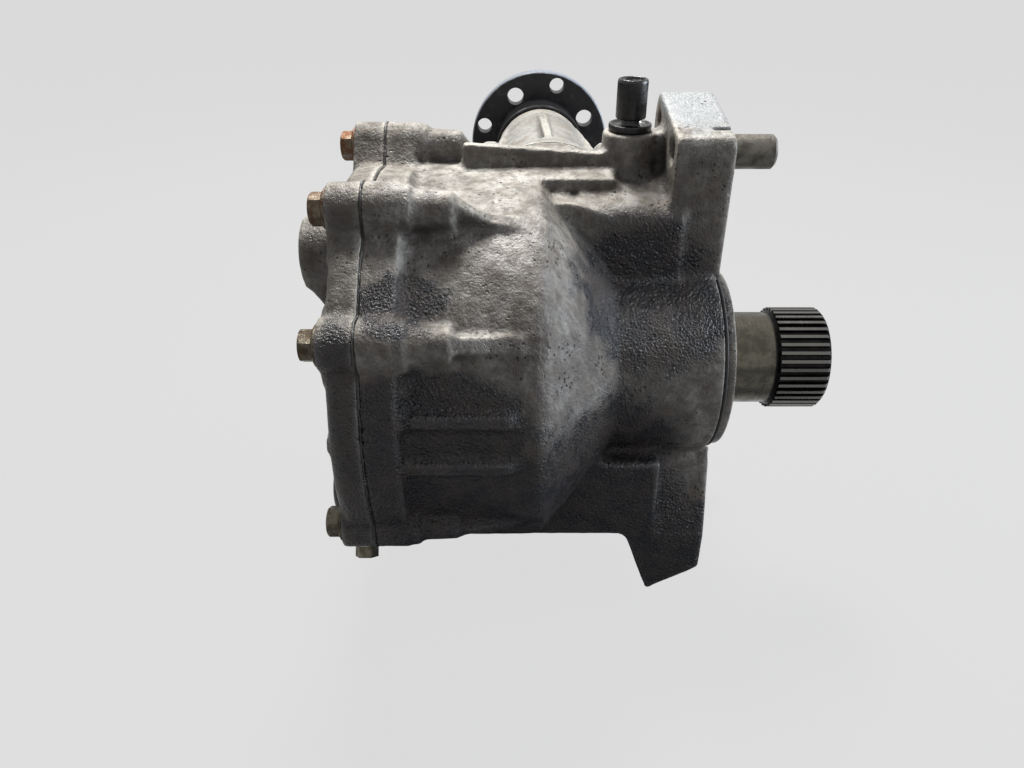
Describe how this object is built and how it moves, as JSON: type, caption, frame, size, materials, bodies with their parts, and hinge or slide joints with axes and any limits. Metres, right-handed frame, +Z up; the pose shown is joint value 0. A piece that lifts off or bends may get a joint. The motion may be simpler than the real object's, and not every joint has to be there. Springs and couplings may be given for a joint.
{
  "type": "transfer case",
  "caption": "Front-drive transfer case: hollow splined input shaft, cast drum casing with bolted cover and mounting lugs, and a right-angle output snout with a round drive flange.",
  "frame": {"origin": "on the input axis, at the mounting face that bolts to the gearbox", "axes": "+X out of the splined input end along the input axis, +Y along the output shaft towards its flange, +Z up"},
  "size_m": [0.241, 0.383, 0.2449],
  "materials": {
    "cast_housing": "weathered as-cast",
    "cast_cover": "weathered as-cast",
    "cast_snout": "as-cast",
    "black_sealant": "squeezed bead",
    "bolt_steel": "dulled plating",
    "shim_steel": "ground",
    "black_rubber": "moulded",
    "seal_rubber": "moulded",
    "black_plastic": "gloss",
    "washer_aluminium": "turned",
    "dowel_steel": "turned",
    "shaft_steel": "turned and oiled",
    "gear_steel": "machined",
    "flange_black": "satin black",
    "deflector_steel": "pressed",
    "bearing_steel": "ground"
  },
  "bodies": {
    "casing": {"main_housing": "cast_housing", "side_cover": "cast_cover", "cover_sealant": "black_sealant", "cover_bolts": "bolt_steel", "pinion_housing": "cast_snout", "pinion_housing_shim": "shim_steel", "pinion_housing_bolts": "bolt_steel", "pinion_housing_oring": "black_rubber", "pilot_oring": "black_rubber", "input_seal": "seal_rubber", "axle_seal": "seal_rubber", "pinion_seal": "seal_rubber", "right_bearing_cup": "bearing_steel", "left_bearing_cup": "bearing_steel", "head_bearing_cup": "bearing_steel", "tail_bearing_cup": "bearing_steel", "preload_shim": "shim_steel", "breather_body": "black_plastic", "breather_cap": "black_plastic", "drain_plug": "bolt_steel", "drain_plug_washer": "washer_aluminium", "filler_plug": "bolt_steel", "filler_plug_washer": "washer_aluminium", "dowel_sleeves": "dowel_steel"},
    "input_rotor": {"input_shaft": "shaft_steel", "ring_gear": "gear_steel", "ring_gear_bolts": "bolt_steel", "left_bearing_cone": "bearing_steel", "right_bearing_cone": "bearing_steel"},
    "output_rotor": {"pinion_shaft": "gear_steel", "head_bearing_cone": "bearing_steel", "collapsible_spacer": "shim_steel", "tail_bearing_cone": "bearing_steel", "output_flange": "flange_black", "dust_deflector": "deflector_steel", "pinion_washer": "shim_steel", "pinion_nut": "bolt_steel"},
    "left_cage": {"left_bearing_cage": "bearing_steel", "left_bearing_rollers": "bearing_steel"},
    "right_cage": {"right_bearing_cage": "bearing_steel", "right_bearing_rollers": "bearing_steel"},
    "head_cage": {"head_bearing_cage": "bearing_steel", "head_bearing_rollers": "bearing_steel"},
    "tail_cage": {"tail_bearing_cage": "bearing_steel", "tail_bearing_rollers": "bearing_steel"}
  },
  "joints": [
    {"name": "input_spin", "type": "hinge", "parent": "casing", "child": "input_rotor", "pos_m": [-0.076, 0, 0], "axis": [1, 0, 0], "continuous": true},
    {"name": "output_spin", "type": "hinge", "parent": "casing", "child": "output_rotor", "pos_m": [-0.076, 0.15, 0.037], "axis": [0, 1, 0], "continuous": true},
    {"name": "left_cage_spin", "type": "hinge", "parent": "casing", "child": "left_cage", "pos_m": [-0.1525, 0, 0], "axis": [1, 0, 0], "continuous": true},
    {"name": "right_cage_spin", "type": "hinge", "parent": "casing", "child": "right_cage", "pos_m": [-0.0425, 0, 0], "axis": [1, 0, 0], "continuous": true},
    {"name": "head_cage_spin", "type": "hinge", "parent": "casing", "child": "head_cage", "pos_m": [-0.076, 0.086, 0.037], "axis": [0, 1, 0], "continuous": true},
    {"name": "tail_cage_spin", "type": "hinge", "parent": "casing", "child": "tail_cage", "pos_m": [-0.076, 0.2125, 0.037], "axis": [0, 1, 0], "continuous": true}
  ],
  "couplings": [
    {"joint": "output_spin", "follows": "input_spin", "ratio": 2.7692},
    {"joint": "left_cage_spin", "follows": "input_spin", "ratio": 0.4535},
    {"joint": "right_cage_spin", "follows": "input_spin", "ratio": 0.4535},
    {"joint": "head_cage_spin", "follows": "input_spin", "ratio": 1.2003},
    {"joint": "tail_cage_spin", "follows": "input_spin", "ratio": 1.1934}
  ]
}
